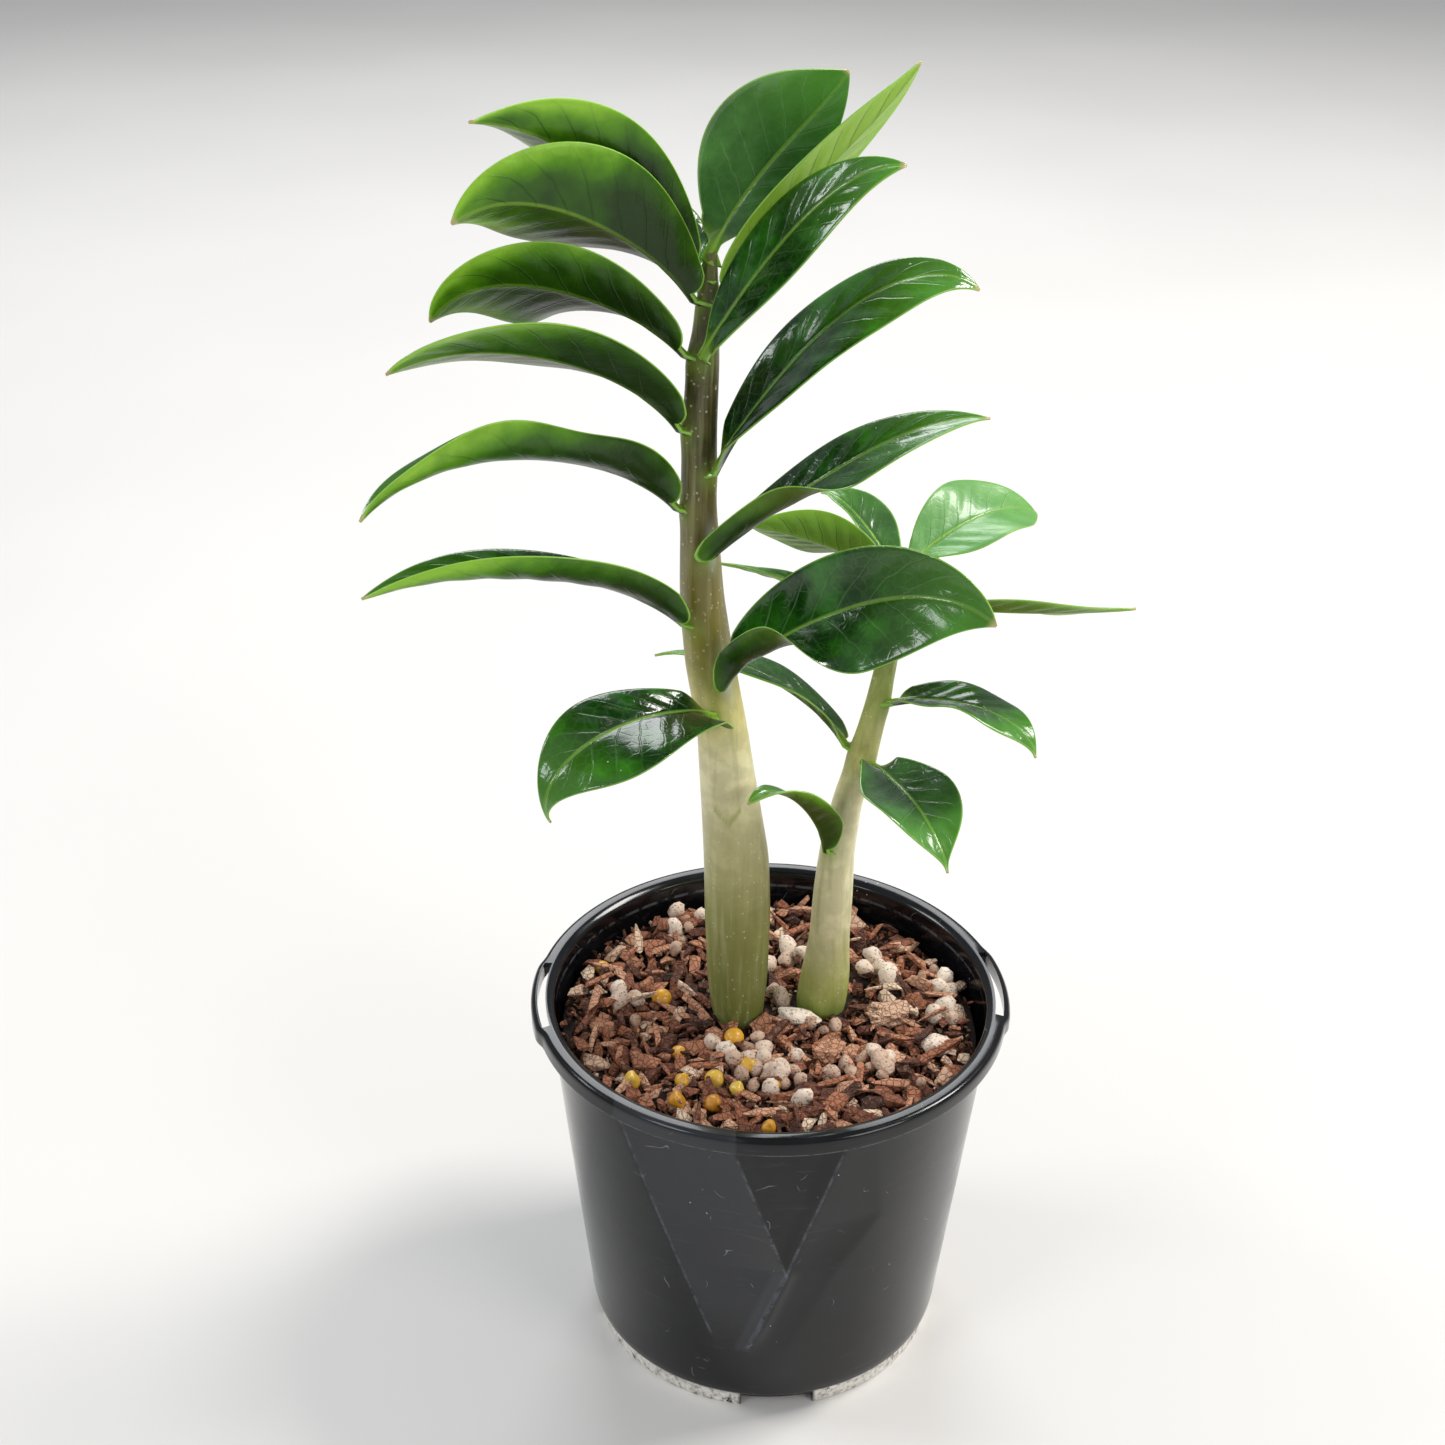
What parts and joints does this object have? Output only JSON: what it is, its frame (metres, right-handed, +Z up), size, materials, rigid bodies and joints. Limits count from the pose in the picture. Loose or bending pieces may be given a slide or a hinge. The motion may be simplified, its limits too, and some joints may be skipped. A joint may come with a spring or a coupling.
{
  "type": "potted zz plant",
  "caption": "Young zz plant with two thick upright stalks of glossy leaflets, standing in bark and pumice mix in a tapered nursery pot with a rolled rim.",
  "frame": {"origin": "centre of the flat pad under the pot, on the pot's axis and on the surface that the pot stands on", "axes": "+Z up along the pot's axis and the stalks, +X to the right of the usual front view, +Y towards the back"},
  "size_m": [0.1754, 0.12, 0.3286],
  "materials": {
    "pot_plastic": "thin black plastic, glossy, with light scratches and lime crust at the foot",
    "potting_mix": "damp composted bark and grit, matt",
    "stalk_main": "satin skin, sage green below, brown-green above, pale flecks",
    "stalk_side": "satin cream-green skin",
    "leaf_main": "waxy and glossy above, satin lighter green below",
    "leaf_side": "waxy and glossy above, satin lighter green below",
    "bark": "rough red-brown bark",
    "pumice": "matt porous pebble",
    "fertiliser_bead": "smooth resin-coated bead"
  },
  "bodies": {
    "root": {"bark_chunk": "bark", "bark_flat": "bark", "bark_knot": "bark", "bark_sliver_back": "bark", "bark_sliver_front": "bark", "bark_sliver_left": "bark", "bark_sliver_right": "bark", "bead_edge": "fertiliser_bead", "bead_front": "fertiliser_bead", "bead_left": "fertiliser_bead", "bead_stalk": "fertiliser_bead", "leaflet_main_back": "leaf_main", "leaflet_main_left_1": "leaf_main", "leaflet_main_left_2": "leaf_main", "leaflet_main_left_3": "leaf_main", "leaflet_main_left_4": "leaf_main", "leaflet_main_left_5": "leaf_main", "leaflet_main_left_6": "leaf_main", "leaflet_main_left_7": "leaf_main", "leaflet_main_right_1": "leaf_main", "leaflet_main_right_2": "leaf_main", "leaflet_main_right_3": "leaf_main", "leaflet_main_right_4": "leaf_main", "leaflet_main_right_5": "leaf_main", "leaflet_main_top": "leaf_main", "leaflet_side_left_1": "leaf_side", "leaflet_side_left_2": "leaf_side", "leaflet_side_left_3": "leaf_side", "leaflet_side_left_4": "leaf_side", "leaflet_side_left_5": "leaf_side", "leaflet_side_right_1": "leaf_side", "leaflet_side_right_2": "leaf_side", "leaflet_side_right_3": "leaf_side", "leaflet_side_right_4": "leaf_side", "pot": "pot_plastic", "potting_mix": "potting_mix", "pumice_back": "pumice", "pumice_front": "pumice", "pumice_long": "pumice", "pumice_right": "pumice", "pumice_white": "pumice", "stalk_main": "stalk_main", "stalk_side": "stalk_side"}
  },
  "joints": []
}
